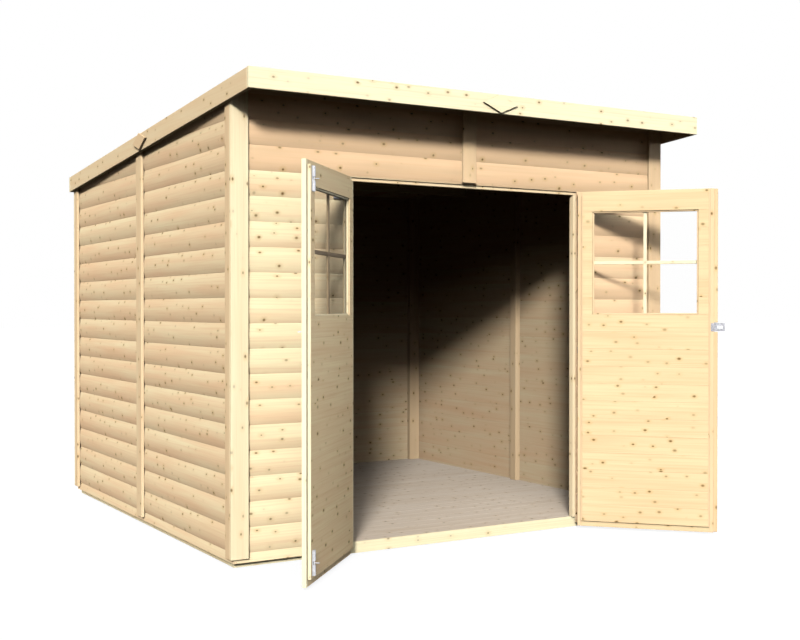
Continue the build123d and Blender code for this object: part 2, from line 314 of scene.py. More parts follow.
def planed_spruce(name, pale, tan, salmon, knot=BROWN, roughness=0.78, evenness=0.75, knot_size=1.0):
    """Planed spruce from pale to heartwood, with tan rings and fibres and with knots along each board."""
    material, tree, shader = new_finish(name)
    grain = add(tree, "ShaderNodeAttribute", attribute_name="grain").outputs["Vector"]
    tone = add(tree, "ShaderNodeAttribute", attribute_name="tone").outputs["Fac"]
    room_shade = add(tree, "ShaderNodeAttribute", attribute_name="room_shade").outputs["Fac"]
    core, halo = knots_and_halos(tree, grain, knot_size)

    rings = add(tree, "ShaderNodeMapping", {"Scale": (1 / RING_RUN, 1 / RING_STEP, 1 / RING_STEP)},
                {"Vector": grain})
    bend = add(tree, "ShaderNodeCombineXYZ", links={"Y": halo})
    rings = add(tree, "ShaderNodeVectorMath", links={0: rings.outputs[0], 1: bend.outputs[0]},
                operation="ADD")
    rings = add(tree, "ShaderNodeTexNoise", {"Scale": 1.0, "Detail": 2.5, "Roughness": 0.6},
                {"Vector": rings.outputs[0]}).outputs["Fac"]
    fibres = add(tree, "ShaderNodeMapping", {"Scale": (1 / FIBRE_RUN, 1 / FIBRE_STEP, 1 / FIBRE_STEP)},
                 {"Vector": grain})
    fibres = add(tree, "ShaderNodeTexNoise", {"Scale": 1.0, "Detail": 2.0},
                 {"Vector": fibres.outputs[0]}).outputs["Fac"]
    change = add(tree, "ShaderNodeMapping", {"Scale": (1 / CHANGE_RUN, 1 / CHANGE_STEP, 1 / CHANGE_STEP)},
                 {"Vector": grain})
    change = add(tree, "ShaderNodeTexNoise", {"Scale": 1.0, "Detail": 1.0},
                 {"Vector": change.outputs[0]}).outputs["Fac"]

    mixed = add(tree, "ShaderNodeMix", {"Factor": evenness}, {2: tone, 3: change}, data_type="FLOAT")
    ramp = add(tree, "ShaderNodeValToRGB", links={"Fac": mixed.outputs[0]})
    first, last = ramp.color_ramp.elements
    first.position, last.position = PALE_STOP, SALMON_STOP
    first.color, last.color = linear(pale), linear(salmon)
    ramp.color_ramp.elements.new(HEARTWOOD_STOP).color = linear(HEARTWOOD)

    shade = add(tree, "ShaderNodeMapRange",
                {"From Min": RING_LEVELS[0], "From Max": RING_LEVELS[1], "To Max": RING_DEPTH},
                {"Value": rings})
    wood = add(tree, "ShaderNodeMix", {7: linear(tan)}, {"Factor": shade.outputs[0], 6: ramp.outputs[0]},
               data_type="RGBA")
    shade = add(tree, "ShaderNodeMapRange",
                {"From Min": FIBRE_LEVELS[0], "From Max": FIBRE_LEVELS[1], "To Max": FIBRE_DEPTH},
                {"Value": fibres})
    wood = add(tree, "ShaderNodeMix", {7: linear(tan)}, {"Factor": shade.outputs[0], 6: wood.outputs[2]},
               data_type="RGBA")
    for colour, pattern, depth in ((OCHRE, halo, HALO_DEPTH), (knot, core, KNOT_DEPTH)):
        shade = add(tree, "ShaderNodeMath", {1: depth}, {0: pattern}, operation="MULTIPLY")
        wood = add(tree, "ShaderNodeMix", {7: linear(colour)},
                   {"Factor": shade.outputs[0], 6: wood.outputs[2]}, data_type="RGBA")
    # Painted shade: faces marked as shaded get a grey multiplied into their colour.
    wood = add(tree, "ShaderNodeMix", {7: linear(ROOM_SHADE_GREY)}, {"Factor": room_shade, 6: wood.outputs[2]},
               data_type="RGBA", blend_type="MULTIPLY")
    tree.links.new(wood.outputs[2], shader.inputs["Base Color"])

    height = add(tree, "ShaderNodeMath", links={0: rings, 1: fibres}, operation="ADD")
    bump = add(tree, "ShaderNodeBump", {"Strength": RELIEF_STRENGTH, "Distance": RELIEF},
               {"Height": height.outputs[0]})
    tree.links.new(bump.outputs[0], shader.inputs["Normal"])
    smooth, rough = roughness - ROUGHNESS_SPREAD, roughness + ROUGHNESS_SPREAD
    gloss = add(tree, "ShaderNodeMapRange", {"To Min": smooth, "To Max": rough}, {"Value": fibres})
    tree.links.new(gloss.outputs[0], shader.inputs["Roughness"])
    shader.inputs["IOR"].default_value = WOOD_IOR
    shader.inputs["Specular IOR Level"].default_value = WOOD_SPECULAR
    return material


finishes = {
    "wall_boards": planed_spruce("planed_spruce_walls", "#FEEEC2", "#EDC698", "#FAD3A8", evenness=0.5),
    "trim_boards": planed_spruce("planed_spruce_trim", "#FDF1CA", "#EFCFA0", "#F6D6AA", evenness=0.35),
    "door_boards": planed_spruce("planed_spruce_doors", "#F0DAAC", "#DAB586", "#E9C99C", evenness=0.7,
                                 knot_size=1.25),
    "floor_boards": planed_spruce("planed_spruce_floor", "#F6E6D3", "#D6BFA4", "#EEDBC4", knot="#84704E"),
    "base_timber": planed_spruce("rough_spruce_base", "#FDF1C8", "#EBCE9E", "#F6DBAC", roughness=0.85,
                                 evenness=0.35),
}
print("spruce finishes:", sorted(finishes))

# %% [markdown]
# ### Galvanised steel, bitumen felt and glass
# Hot-dip zinc crystallises in flakes some 6 mm across, which differ a little in grey and gloss.
# The hasp gets a darker copy of the zinc, as painted shade that tones down the key light's glint
# on it. Roofing felt is bitumen with a dark mineral grit of about 2 mm, drawn at 4 mm to show.
# The panes are thin clear glass. They let nearly all light through, and less the flatter it
# comes, because glass mirrors more at a flat angle.

# %% Steel, felt and glass
FLAKE, GRIT = 6 * MM, 4 * MM
ZINC_GLOSS = 0.66, 0.82
PATCHES_PER_METRE, PATCH_SHARE = 3.0, 0.3
FELT_DARK, FELT_GREY, FELT_ROUGHNESS = "#2E2F31", "#55565A", 0.9
FELT_RELIEF, FELT_RELIEF_STRENGTH = 1 * MM, 0.5
WAVES_PER_METRE, WAVE_GLOSS = 5.0, (0.01, 0.05)
FILM, FLATNESS_POWER = (0.005, 0.90), 5.0
GLASS_TINT, GLASS_IOR = "#4C5451", 1.5


def galvanised_steel(name, dark, bright):
    """Zinc-coated steel with faint crystal flakes, between a darker and a brighter grey."""
    material, tree, shader = new_finish(name)
    place = add(tree, "ShaderNodeTexCoord").outputs["Object"]
    flakes = add(tree, "ShaderNodeTexVoronoi", {"Scale": 1 / FLAKE}, {"Vector": place})
    level = add(tree, "ShaderNodeSeparateColor", links={"Color": flakes.outputs["Color"]})
    tint = add(tree, "ShaderNodeMix", {6: linear(dark), 7: linear(bright)},
               {"Factor": level.outputs["Red"]}, data_type="RGBA")
    tree.links.new(tint.outputs[2], shader.inputs["Base Color"])
    gloss = add(tree, "ShaderNodeMapRange", {"To Min": ZINC_GLOSS[0], "To Max": ZINC_GLOSS[1]},
                {"Value": level.outputs["Green"]})
    tree.links.new(gloss.outputs[0], shader.inputs["Roughness"])
    shader.inputs["Metallic"].default_value = 1.0
    return material


def bitumen_felt():
    """Roofing felt with mineral grit."""
    material, tree, shader = new_finish("mineral_bitumen_felt")
    place = add(tree, "ShaderNodeTexCoord").outputs["Object"]
    grit = add(tree, "ShaderNodeTexVoronoi", {"Scale": 1 / GRIT}, {"Vector": place})
    level = add(tree, "ShaderNodeSeparateColor", links={"Color": grit.outputs["Color"]})
    patch = add(tree, "ShaderNodeTexNoise", {"Scale": PATCHES_PER_METRE, "Detail": 3.0}, {"Vector": place})
    level = add(tree, "ShaderNodeMix", {"Factor": PATCH_SHARE},
                {2: level.outputs["Red"], 3: patch.outputs["Fac"]}, data_type="FLOAT")
    tint = add(tree, "ShaderNodeMix", {6: linear(FELT_DARK), 7: linear(FELT_GREY)},
               {"Factor": level.outputs[0]}, data_type="RGBA")
    tree.links.new(tint.outputs[2], shader.inputs["Base Color"])
    bump = add(tree, "ShaderNodeBump", {"Strength": FELT_RELIEF_STRENGTH, "Distance": FELT_RELIEF},
               {"Height": grit.outputs["Distance"]})
    tree.links.new(bump.outputs[0], shader.inputs["Normal"])
    shader.inputs["Roughness"].default_value = FELT_ROUGHNESS
    return material


def window_glass():
    """Thin clear panes that pass less light at a flat angle, with slight waves in their gloss."""
    material, tree, shader = new_finish("clear_float_glass")
    place = add(tree, "ShaderNodeTexCoord").outputs["Object"]
    waves = add(tree, "ShaderNodeTexNoise", {"Scale": WAVES_PER_METRE, "Detail": 1.0}, {"Vector": place})
    gloss = add(tree, "ShaderNodeMapRange", {"To Min": WAVE_GLOSS[0], "To Max": WAVE_GLOSS[1]},
                {"Value": waves.outputs["Fac"]})
    tree.links.new(gloss.outputs[0], shader.inputs["Roughness"])
    flat = add(tree, "ShaderNodeLayerWeight", {"Blend": 0.5})
    flat = add(tree, "ShaderNodeMath", {1: FLATNESS_POWER}, {0: flat.outputs["Facing"]}, operation="POWER")
    film = add(tree, "ShaderNodeMapRange", {"To Min": FILM[0], "To Max": FILM[1]}, {"Value": flat.outputs[0]})
    tree.links.new(film.outputs[0], shader.inputs["Alpha"])
    shader.inputs["Base Color"].default_value = linear(GLASS_TINT)
    shader.inputs["IOR"].default_value = GLASS_IOR
    return material


finishes["galvanised_steel"] = galvanised_steel("galvanised_steel", "#BCBCBE", "#D2D2D4")
finishes["roof_felt"] = bitumen_felt()
finishes["window_glass"] = window_glass()


def dress(piece, body, slot, *nodes):
    """Gives a finished piece its finish and its body, and hides the CAD nodes that it stands for."""
    piece.data.materials.clear()
    piece.data.materials.append(finishes[slot])
    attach(piece, body)
    if nodes:
        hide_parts(*nodes)
    return piece


for subpart in frame["record"]["subparts"]:
    if subpart["material_slot"] in ("galvanised_steel", "window_glass"):
        fitting = frame["nodes"][subpart["node"]]
        fitting.data.materials.clear()
        fitting.data.materials.append(finishes[subpart["material_slot"]])
# Painted shade: the hasp gets a darker copy of the zinc, which tones down the key light's glint.
shaded_zinc = galvanised_steel("shaded_zinc", "#98989C", "#AFAFB4")
frame["nodes"]["right_door_hasp"].data.materials[0] = shaded_zinc
print("finishes:", sorted(finishes))

# %% [markdown]
# ## Base and floor
# Two beams and five joists of sawn timber carry a floor of narrow boards that run across the
# shed. The floor is one solid in the frame; here it becomes single boards, laid side by side,
# with a thin nosing in front. One board is made and copied, and each copy gets its own grain.

# %% Beams, joists and floor boards
for node in ("base_beam_front", "base_beam_rear"):
    beam = board(*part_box(node), X, eased=CRISP, tone=PALE_TONE)
    beam.name = node + "_timber"
    dress(beam, "shed", "base_timber", node)
joists = [board(*box, Y, eased=BLUNT) for box in solid_boxes("base_joists")]
dress(joined("base_joist_timbers", joists), "shed", "base_timber", "base_joists")

PLANK_COVER, PLANK_EASED = 96 * MM, 1 * MM


def row(low, high, along, across, cuts=()):
    """Boards of about the plank's cover, side by side between two corners."""
    count = round((high[across] - low[across]) / PLANK_COVER)
    step = (high[across] - low[across]) / count
    top = high.copy()
    top[across] = low[across] + step
    master = board(low, top, along, cuts, PLANK_EASED)
    boards = [master]
    for i in range(1, count):
        shift = Vector()
        shift[across] = i * step
        twin = copied(master, shift)
        twin.data.attributes.remove(twin.data.attributes["grain"])
        twin.data.attributes.remove(twin.data.attributes["tone"])
        mark_grain(twin, along, across, timber())
        boards.append(twin)
    return boards


NOSING = 8 * MM
floor_low, floor_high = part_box("floor")
nosing_high = (floor_high.x, floor_low.y + NOSING, floor_high.z)
nosing = board(floor_low, nosing_high, X, eased=CRISP, tone=PALE_TONE)
nosing.name = "floor_nosing"
dress(nosing, "shed", "base_timber")
floor_boards = row(floor_low + Vector((0, NOSING, 0)), floor_high, X, Y)
print("floor boards:", len(floor_boards))
dress(joined("floor_boards", floor_boards), "shed", "floor_boards", "floor")

# %% [markdown]
# ## Roof
# The roof falls 4 degrees to the back. Its solids follow that slope, so each board starts as a
# block around the whole rise and is sawn off above and below along the slope. The roof boards
# run from front to back, and the felt lies on them in three lapped sheets.

# %% Roof planes, boards, felt and purlins
ROOF_PITCH = math.radians(4)
roof_up = Vector((0, math.sin(ROOF_PITCH), math.cos(ROOF_PITCH)))
deck_low, deck_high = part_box("roof_deck")
felt_low, felt_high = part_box("roof_felt")
deck_under = (Vector((0, deck_high.y, deck_low.z)), roof_up)
deck_top = (Vector((0, deck_low.y, deck_high.z)), roof_up)
felt_top = (Vector((0, felt_low.y, felt_high.z)), roof_up)


def below(plane):
    """The same plane, turned over, so that the saw takes what is under it."""
    return plane[0], -plane[1]


deck = row(deck_low, deck_high, Y, X, (deck_top, below(deck_under)))
print("roof boards:", len(deck))
dress(joined("roof_boards", deck), "shed", "trim_boards", "roof_deck")

SHEETS, LAP, SHEET_RISE, SHEET_EASED = 3, 80 * MM, 1.5 * MM, 0.6 * MM
sheet_length = (felt_high.y - felt_low.y) / SHEETS
sheets = []
for i in range(SHEETS):
    start = felt_low.y + i * sheet_length
    low = (felt_low.x, start, felt_low.z)
    lapped = min(start + sheet_length + LAP, felt_high.y)
    rise = Vector((0, 0, SHEET_RISE * (SHEETS - 1 - i)))
    sheet = block(low, (felt_high.x, lapped, felt_high.z + SHEETS * SHEET_RISE))
    saw(sheet, felt_top[0] + rise, felt_top[1])
    saw(sheet, *below((deck_top[0] + rise, deck_top[1])))
    ease(sheet, SHEET_EASED)
    sheets.append(sheet)
dress(joined("roof_felt_sheets", sheets), "shed", "roof_felt", "roof_felt")

purlins = [board(*box, X, (deck_under,)) for box in solid_boxes("roof_purlins")]
dress(joined("roof_purlin_beams", purlins), "shed", "trim_boards", "roof_purlins")

# %% [markdown]
# ### Fascias and their plates
# Fascia boards close the roof's edge on all sides. Each is joined in its middle, and a lozenge
# of thin board covers the joint. A lozenge is a four-sided cylinder, flattened to its sizes;
# at the sides it leans with the roof.

# %% Fascias
for node in ("front_fascia", "rear_fascia"):
    halves = [board(*box, X, tone=PALE_TONE) for box in solid_boxes(node)]
    dress(joined(node + "_boards", halves), "shed", "trim_boards", node)

SIDE_FASCIA_TONE = 0.65
fascia_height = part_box("front_fascia")[1].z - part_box("front_fascia")[0].z
fascia_under = (felt_top[0] - Vector((0, 0, fascia_height)), roof_up)
for node in ("left_fascia", "right_fascia"):
    halves = [board(*box, Y, (felt_top, below(fascia_under)), tone=SIDE_FASCIA_TONE)
              for box in solid_boxes(node)]
    dress(joined(node + "_boards", halves), "shed", "trim_boards", node)


def lozenge(box):
    """A lozenge plate in the box of its solid, flat on the fascia."""
    low, high = box
    size = high - low
    bpy.ops.object.select_all(action="DESELECT")
    bpy.ops.mesh.primitive_cylinder_add(vertices=4, radius=0.5, depth=1)
    plate = bpy.context.object
    thin = X if size.x < size.y else Y
    plate.rotation_euler = (math.pi / 2, 0, 0) if thin == Y else (math.pi / 2, 0, math.pi / 2)
    bpy.ops.object.transform_apply(location=True, rotation=True, scale=True)
    plate.scale = size
    plate.rotation_euler = (-ROOF_PITCH if thin == X else 0, 0, 0)
    plate.location = (low + high) / 2
    bpy.ops.object.transform_apply(location=True, rotation=True, scale=True)
    ease(plate, PLANK_EASED)
    mark_grain(plate, Y if thin == X else X, Z, timber(PALE_TONE if thin == Y else WARM_TONE))
    return plate


plates = [lozenge(box) for box in solid_boxes("fascia_plates")]
print("lozenge plates:", len(plates))
dress(joined("fascia_lozenges", plates), "shed", "trim_boards", "fascia_plates")

# %% [markdown]
# ## Half-log walls
# The wall boards are rounded outside like logs and flat inside. Such a board is what is left of
# a log after three cuts, and it is made just so: a cylinder is laid along the wall, and the saw
# takes its back, its top and its bottom. All walls have their seams at the same heights. The
# lowest board is cut at the panel's foot, and the highest along the roof. In front, two panels
# meet in the middle over the doors, so a board runs on from beside the doorway to above it.
# The lower edge of each board is painted warmer, as painted shade under its round, and the boards
# higher than the doors are painted warmer as painted shade under the roof's overhang. The room side
# gets painted shade, a grey multiplied into its colour; an attribute on its faces marks it.

# %% Half-log boards
BOARD_COVER = 111.2 * MM
SEAM_HEIGHT = 1066.2 * MM
LOG_RADIUS = 160 * MM
LOG_SIDES = 80
JOINT_EASED, ON_PLANE = 0.7 * MM, 0.1 * MM


def half_log(low, high, outward, seam):
    """One board of a wall panel with its lower seam at a height; outward points away from the room."""
    along = Y if outward.x else X
    thin = X + Y - along
    crest = high[thin] if outward[thin] > 0 else low[thin]
    back = low[thin] if outward[thin] > 0 else high[thin]
    middle = (low + high) / 2
    middle[thin] = crest - outward[thin] * LOG_RADIUS
    middle.z = seam + BOARD_COVER / 2
    turn = (0, math.pi / 2, 0) if along == X else (math.pi / 2, 0, 0)
    bpy.ops.object.select_all(action="DESELECT")
    bpy.ops.mesh.primitive_cylinder_add(vertices=LOG_SIDES, radius=LOG_RADIUS, depth=high[along] - low[along],
                                        location=middle, rotation=turn)
    bpy.ops.object.transform_apply(location=True, rotation=True, scale=True)
    piece = bpy.context.object
    inner = Vector()
    inner[thin] = back
    saw(piece, inner, -outward)
    saw(piece, (0, 0, seam + BOARD_COVER), (0, 0, 1))
    saw(piece, (0, 0, seam), (0, 0, -1))
    ease_joints(piece, thin, back, seam)
    return piece


def ease_joints(piece, thin, back, seam):
    """Eases the board's edges on the room side and at its foot, which leaves a fine V at each joint."""
    edit(piece)
    bpy.ops.mesh.select_mode(type="EDGE")
    bpy.ops.mesh.select_all(action="DESELECT")
    leave()
    for edge in piece.data.edges:
        ends = [piece.data.vertices[i].co for i in edge.vertices]
        on_back = all(abs(end[thin] - back) < ON_PLANE for end in ends)
        on_foot = all(abs(end.z - seam) < ON_PLANE for end in ends)
        edge.select = on_back or on_foot
    bpy.ops.object.mode_set(mode="EDIT")
    bpy.ops.mesh.bevel(offset=JOINT_EASED, segments=1, affect="EDGES")
    leave()


# %% Marks for grain and for painted shade on the lower edge and the room side
# Share by which painted shade warms each board towards its lower edge.
LOWER_EDGE_SHADE = 0.2
INWARD = -0.5


def mark_room_shade(piece, outward, elsewhere=0.0):
    """Marks painted shade on the faces that look into the room, and on all others by a share."""
    shade_marks = piece.data.attributes.new("room_shade", "FLOAT", "FACE")
    looks_in = [face.normal.dot(outward) < INWARD for face in piece.data.polygons]
    shade_marks.data.foreach_set("value", [1.0 if inward else elsewhere for inward in looks_in])


def mark_board(piece, along, outward, seam, stock):
    """Marks a wall board's grain and painted shade on its lower edge and its room side."""
    mark_grain(piece, along, Z, stock)
    # Painted shade: the tone rises towards the board's lower edge, so its underside is warmer.
    for vertex, spot in zip(piece.data.vertices, piece.data.attributes["tone"].data):
        spot.value += LOWER_EDGE_SHADE * (0.5 - (vertex.co.z - seam) / BOARD_COVER)
    mark_room_shade(piece, outward)


# %% Wall panels
# Each panel has one tone for its low boards and a warmer one for its high boards,
# as painted shade under the roof's overhang.
PANEL_TONES_AND_EAVE_SHADE = {
    "front_left": (0.35, 1.1), "front_right": (0.9, 1.1),
    "back_left": (0.50, 0.60), "back_right": (0.55, 0.65),
    "left_front": (0.60, 0.65), "left_rear": (0.62, 0.65),
    "right_front": (0.60, 0.65), "right_rear": (0.62, 0.65),
}
TONE_SPREAD, EAVE_SHADE_COURSE = 0.07, 6
stocks = {}


def panel_boards(node, outward, panel, start, end):
    """The boards of a panel that lie in a node, cut at its foot and along the roof."""
    low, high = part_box(node)
    along = Y if outward.x else X
    low[along], high[along] = max(low[along], start), min(high[along], end)
    course = -math.ceil((SEAM_HEIGHT - low.z) / BOARD_COVER)
    lowest = seam = SEAM_HEIGHT + course * BOARD_COVER
    master = half_log(low, high, outward, lowest)
    boards = []
    while seam < high.z:
        piece = copied(master, Vector((0, 0, seam - lowest)))
        if seam < low.z:
            saw(piece, (0, 0, low.z), (0, 0, -1))
        saw(piece, *deck_under)
        if (panel, course) not in stocks:
            # From the eave course up, boards take the high tone: painted shade under the roof.
            tone = PANEL_TONES_AND_EAVE_SHADE[panel][course >= EAVE_SHADE_COURSE]
            stocks[panel, course] = timber(tone + dice.uniform(-TONE_SPREAD, TONE_SPREAD))
        if piece.data.vertices:
            mark_board(piece, along, outward, seam, stocks[panel, course])
            boards.append(piece)
        else:
            bpy.data.objects.remove(piece)
        seam, course = seam + BOARD_COVER, course + 1
    bpy.data.objects.remove(master)
    return boards


FAR = 9
WHOLE, TO_MIDDLE, FROM_MIDDLE = (-FAR, FAR), (-FAR, 0), (0, FAR)
FACET_ANGLE = math.radians(12)
front, back = Vector((0, -1, 0)), Vector((0, 1, 0))
left, right = Vector((-1, 0, 0)), Vector((1, 0, 0))
walls = {
    "front_wall_left": (front, {"front_left": TO_MIDDLE}),
    "front_wall_right": (front, {"front_right": FROM_MIDDLE}),
    "front_wall_over_door": (front, {"front_left": TO_MIDDLE, "front_right": FROM_MIDDLE}),
    "back_wall_left": (back, {"back_left": WHOLE}),
    "back_wall_right": (back, {"back_right": WHOLE}),
    "left_wall_front": (left, {"left_front": WHOLE}),
    "left_wall_rear": (left, {"left_rear": WHOLE}),
    "right_wall_front": (right, {"right_front": WHOLE}),
    "right_wall_rear": (right, {"right_rear": WHOLE}),
}
for node, (outward, panels) in walls.items():
    boards = []
    for panel, reach in panels.items():
        boards += panel_boards(node, outward, panel, *reach)
    print(node, "boards:", len(boards))
    wall = joined(node + "_boards", boards)
    alone(wall)
    bpy.ops.object.shade_smooth_by_angle(angle=FACET_ANGLE)
    dress(wall, "shed", "wall_boards", node)

# %% [markdown]
# ## Posts, cover boards and door frame
# Inside, posts stiffen the panels. Outside, boards cover the corners and the panel joints. They
# lie flat on the crests of the rounded boards, so dark gaps show at every seam. All of these are
# upright and end under the roof. A corner has two boards: one on the face and one on the side.
# The posts get painted shade on the room side and less on the others. Two jambs and a head frame
# the doorway.

# %% Posts, corner boards, battens and door frame
# Share of painted shade on the posts' faces that don't look into the room.
POST_SIDES_SHADE = 0.75
BATTEN_TONES = {"left_wall_batten": 0.75, "right_wall_batten": 0.75,
                "back_wall_batten": 0.75, "front_wall_batten": 1.05}
FACE_TONES = {"front_left_corner_trim": 0.4, "front_right_corner_trim": 1.1,
              "rear_left_corner_trim": 0.4, "rear_right_corner_trim": 0.9}
SIDE_TONE = 0.8

for node, outward in (("left_wall_posts", left), ("right_wall_posts", right), ("back_wall_post", back)):
    posts = [board(*box, Z, (deck_under,), BLUNT) for box in solid_boxes(node)]
    # Painted shade on the posts, full on the room side.
    for post in posts:
        mark_room_shade(post, outward, POST_SIDES_SHADE)
    dress(joined(node + "_timber", posts), "shed", "trim_boards", node)

for node, tone in BATTEN_TONES.items():
    batten = board(*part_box(node), Z, (deck_under,), tone=tone)
    batten.name = node + "_board"
    dress(batten, "shed", "trim_boards", node)

trim_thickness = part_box("left_wall_batten")[1].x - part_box("left_wall_batten")[0].x
for node, tone in FACE_TONES.items():
    low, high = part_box(node)
    face_low, face_high, side_low, side_high = low.copy(), high.copy(), low.copy(), high.copy()
    if low.y < 0:
        face_high.y = side_low.y = low.y + trim_thickness
    else:
        face_low.y = side_high.y = high.y - trim_thickness
    if low.x < 0:
        side_high.x = low.x + trim_thickness
    else:
        side_low.x = high.x - trim_thickness
    pair = [board(face_low, face_high, Z, (deck_under,), tone=tone),
            board(side_low, side_high, Z, (deck_under,), tone=SIDE_TONE)]
    dress(joined(node + "_boards", pair), "shed", "trim_boards", node)

for node, along in (("door_jamb_left", Z), ("door_jamb_right", Z), ("door_head", X)):
    post = board(*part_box(node), along)
    post.name = node + "_board"
    dress(post, "shed", "trim_boards", node)
print("trim thickness:", round(trim_thickness, 4))

# %% [markdown]
# ## Door leaves
# A leaf is two layers of boards around a square window. It is easiest to build while it is
# shut, when its boards lie along the frame's axes. So the solids are turned back by the hinge's
# angle and measured, the boards are made on the shut leaf, and the finished piece is turned out
# again. Boards that would cross the window are sawn short on both sides of it. An upright strip
# closes their ends at both edges of the leaf; the strips of both layers are one piece.

# %% The shut leaf
def to_open(side):
    """The turn about the hinge pins that opens a shut leaf to where it stands."""
    joint = next(j for j in frame["joints"] if j["child"] == side + "_door")
    pin = Matrix.Translation(joint["pos_m"])
    angle = math.radians(-joint["range_deg"][0]) * joint["axis"][Z]
    return pin @ Matrix.Rotation(angle, 4, "Z") @ pin.inverted()


def shut_boxes(side, node):
    """The boxes of a leaf's solids while the leaf is shut."""
    return solid_boxes(f"{side}_door_{node}", to_open(side).inverted())


PANE_GAP, HOLE_SLACK = 0.3 * MM, 1 * MM
LEAF_EASED = 0.8 * MM
COURSES_BELOW, COURSES_BESIDE = 12, 6
EDGE_WIDTHS = {"boards": 19 * MM, "inner_boards": 6 * MM}
LEAF_TONES = 0.35, 0.65
STRIP_TONES = {"left": PALE_TONE, "right": 1.0}


def window_of(side):
    """The window's hole on the shut leaf, from the pane that fills it."""
    low, high = shut_boxes(side, "glass")[0]
    gap = Vector((PANE_GAP, 0, PANE_GAP))
    return low - gap, high + gap


def leaf_layer(side, node):
    """One layer of a shut leaf as single boards around the window, and its two edge strips."""
    low, high = shut_boxes(side, node)[0]
    hole_low, hole_high = window_of(side)
    inner_low = shut_boxes(side, "inner_boards")[0][0].z
    below_step = (hole_low.z - inner_low) / COURSES_BELOW
    beside_step = (hole_high.z - hole_low.z) / COURSES_BESIDE
    seams = [low.z] + [inner_low + i * below_step for i in range(1, COURSES_BELOW)]
    seams += [hole_low.z + i * beside_step for i in range(COURSES_BESIDE + 1)] + [high.z]
    edge = EDGE_WIDTHS[node]
    strips = [board((x, low.y, low.z), (x + edge, high.y, high.z), Z, eased=LEAF_EASED,
                    tone=STRIP_TONES[side]) for x in (low.x, high.x - edge)]
    boards = []
    for foot, head in zip(seams, seams[1:]):
        spans = [(low.x + edge, high.x - edge)]
        if foot > hole_low.z - HOLE_SLACK and head < hole_high.z + HOLE_SLACK:
            spans = [(low.x + edge, hole_low.x), (hole_high.x, high.x - edge)]
        for start, end in spans:
            boards.append(board((start, low.y, foot), (end, high.y, head), X, eased=LEAF_EASED,
                                tone=dice.uniform(*LEAF_TONES)))
    return boards, strips


def hang(name, side, pieces, slot, *nodes):
    """Joins pieces of a shut leaf, opens them and lets them ride on that leaf."""
    whole = joined(f"{side}_door_{name}", pieces)
    whole.data.transform(to_open(side))
    return dress(whole, side + "_door", slot, *[f"{side}_door_{node}" for node in nodes])


for side in ("left", "right"):
    edge_strips = []
    for node in EDGE_WIDTHS:
        layer, strips = leaf_layer(side, node)
        print(side, node, len(layer))
        hang(node + "_planks", side, layer, "door_boards", node)
        edge_strips += strips
    hang("edge_strips", side, edge_strips, "trim_boards")

# %% [markdown]
# ### Glazing bars, beads and the cover strip
# One upright and one level bar divide each pane. They lie on the outside of the glass, the level
# one over the upright one. The left leaf's bars are painted warmer, with painted shade on their
# room side, because they stand in shade. Thin beads hold the glass at the edge of the hole. The
# right leaf also carries the strip that covers the joint of the shut leaves.

# %% Bars, beads and strip
BAR_WIDTH, BAR_SET_IN, CROSS_SET_IN = 16.5 * MM, 4 * MM, 1 * MM
BEAD = 7 * MM
# The left leaf's bars get a warmer tone as painted shade; the right leaf's stay pale.
BAR_TONES_AND_SHADE = {"left": 1.1, "right": PALE_TONE}
BEAD_TONES = {"left": 0.3, "right": WARM_TONE}
BAR_HEIGHT_SHARE = 0.502

for side in ("left", "right"):
    hole_low, hole_high = window_of(side)
    outer_low = shut_boxes(side, "boards")[0][0]
    middle_x = (hole_low.x + hole_high.x) / 2
    middle_z = hole_low.z + BAR_HEIGHT_SHARE * (hole_high.z - hole_low.z)
    half = BAR_WIDTH / 2
    glass_low, glass_high = shut_boxes(side, "glass")[0]
    upright = board((middle_x - half, outer_low.y + BAR_SET_IN, hole_low.z),
                    (middle_x + half, glass_low.y, hole_high.z), Z, tone=BAR_TONES_AND_SHADE[side])
    level = board((hole_low.x, outer_low.y + CROSS_SET_IN, middle_z - half),
                  (hole_high.x, glass_low.y, middle_z + half), X, tone=BAR_TONES_AND_SHADE[side])
    bars = [upright, level]
    # Painted shade on the room side of the left leaf's bars.
    if side == "left":
        for bar in bars:
            mark_room_shade(bar, front)
    for y0, y1 in ((glass_low.y - BEAD, glass_low.y), (glass_high.y, glass_high.y + BEAD)):
        for z0, z1 in ((hole_low.z, hole_low.z + BEAD), (hole_high.z - BEAD, hole_high.z)):
            bars.append(board((hole_low.x, y0, z0), (hole_high.x, y1, z1), X, tone=BEAD_TONES[side]))
        for x0, x1 in ((hole_low.x, hole_low.x + BEAD), (hole_high.x - BEAD, hole_high.x)):
            bars.append(board((x0, y0, hole_low.z + BEAD), (x1, y1, hole_high.z - BEAD), Z,
                              tone=BEAD_TONES[side]))
    hang("glazing_bars", side, bars, "trim_boards")
    print(side, "bars and beads:", len(bars))

strips = [board(*box, Z, eased=BLUNT) for box in shut_boxes("right", "cover_strip")]
hang("cover_strip_board", "right", strips, "door_boards", "cover_strip")

# %% [markdown]
# ## Screws
# Every strap, plate and bolt, and the hasp, is held by pan-head screws. One screw is made from a
# cylinder: its upper face is inset and lifted twice, to a low dome. It is then copied to its
# places; on a leaf the screws are set while the leaf is shut and open with it.

# %% One screw, set many times
SCREW_RADIUS, SCREW_HEIGHT, SCREW_SIDES = 3.6 * MM, 1.6 * MM, 12
DOME_SHARES, DOME_RISES = (0.3, 0.4), (0.5 * MM, 0.2 * MM)


